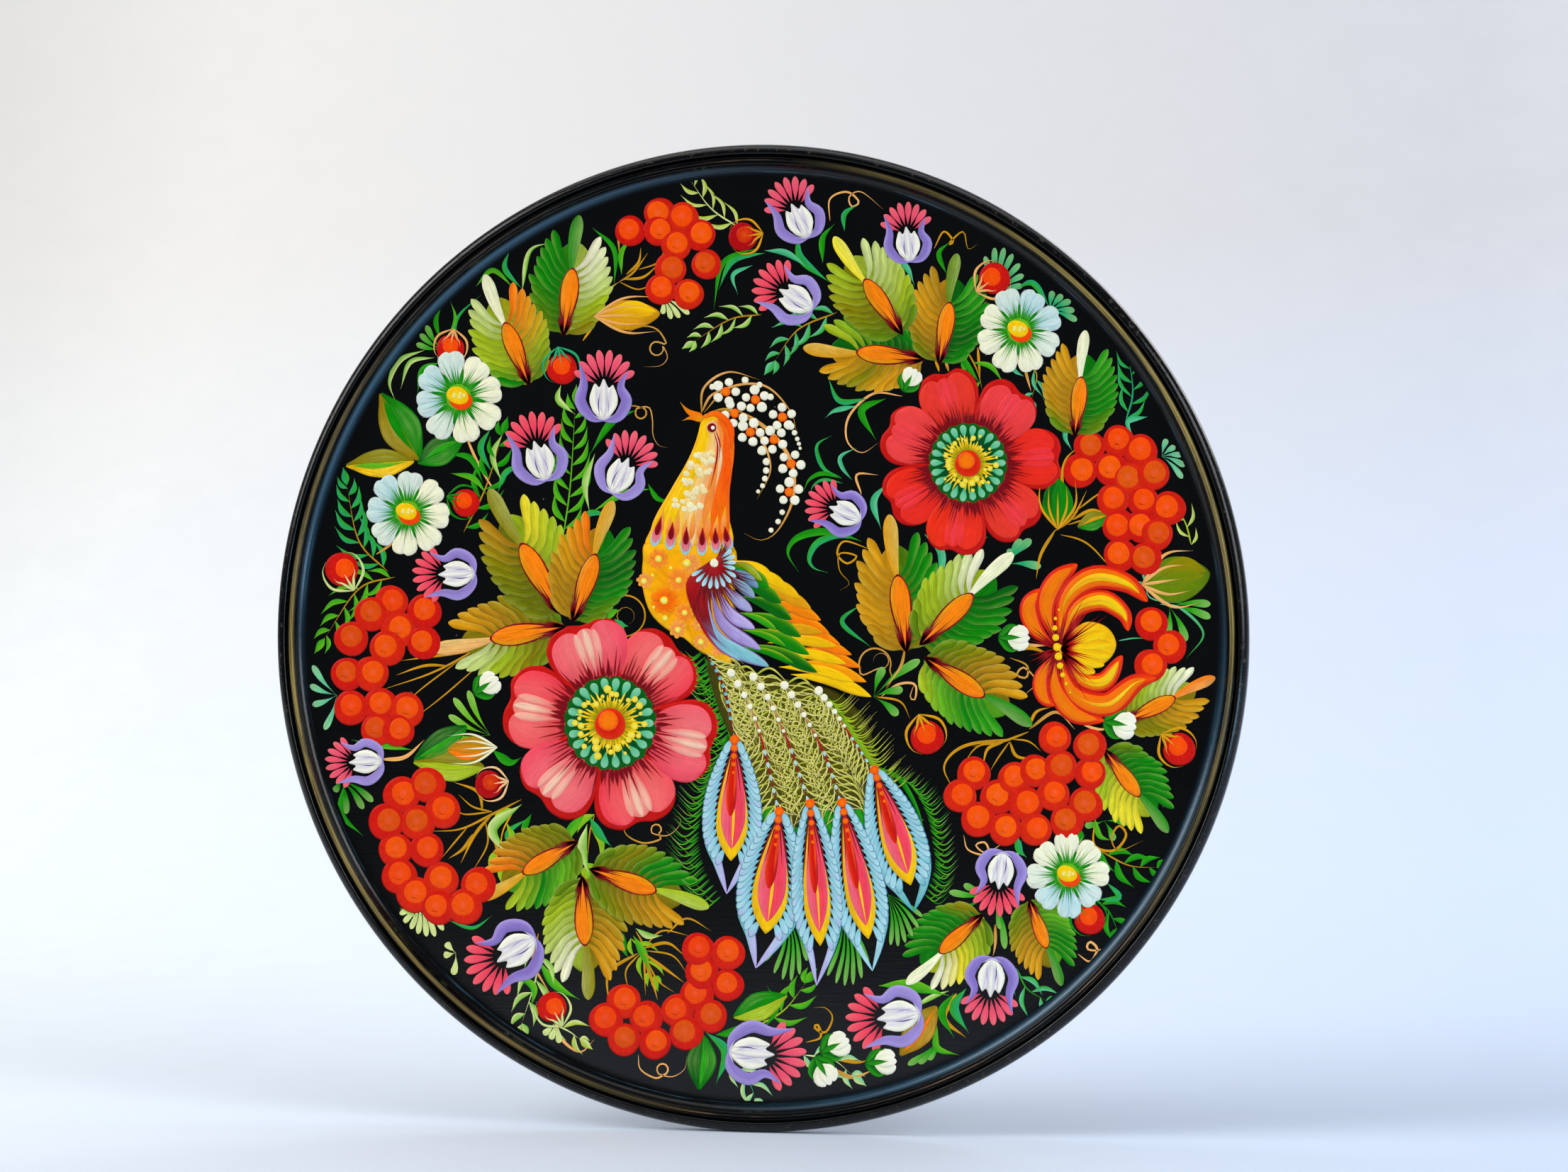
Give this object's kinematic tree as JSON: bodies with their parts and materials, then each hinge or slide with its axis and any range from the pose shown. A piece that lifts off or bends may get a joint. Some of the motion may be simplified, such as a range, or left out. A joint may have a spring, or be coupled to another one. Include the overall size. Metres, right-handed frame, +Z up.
{
  "type": "painted wooden display tray",
  "caption": "Round turned wooden display tray with a moulded rim, a shallow painted well, a foot ring and a swinging wall-hanger ring on the back.",
  "frame": {"origin": "lowest point of the rim, in the plane of the rim's widest circle", "axes": "+Z up with the tray standing on edge, -Y out of the painted front, +X to the right as seen from the front"},
  "size_m": [0.4, 0.019, 0.4],
  "materials": {
    "lacquered_wood": "black gloss lacquer with a painted flower and bird picture",
    "hanger_brass": "satin",
    "hanger_steel": "satin zinc"
  },
  "bodies": {
    "tray": {"board_1": "lacquered_wood", "board_2": "lacquered_wood", "board_3": "lacquered_wood", "board_4": "lacquered_wood", "board_5": "lacquered_wood", "board_6": "lacquered_wood", "board_7": "lacquered_wood", "board_8": "lacquered_wood", "hanger_plate": "hanger_brass", "hanger_screw_left": "hanger_steel", "hanger_screw_right": "hanger_steel"},
    "ring": {"hanger_ring": "hanger_steel"}
  },
  "joints": [
    {"name": "ring_swing", "type": "hinge", "parent": "tray", "child": "ring", "pos_m": [0, 0.01035, 0.296], "axis": [1, 0, 0], "range_deg": [0, 180]}
  ]
}
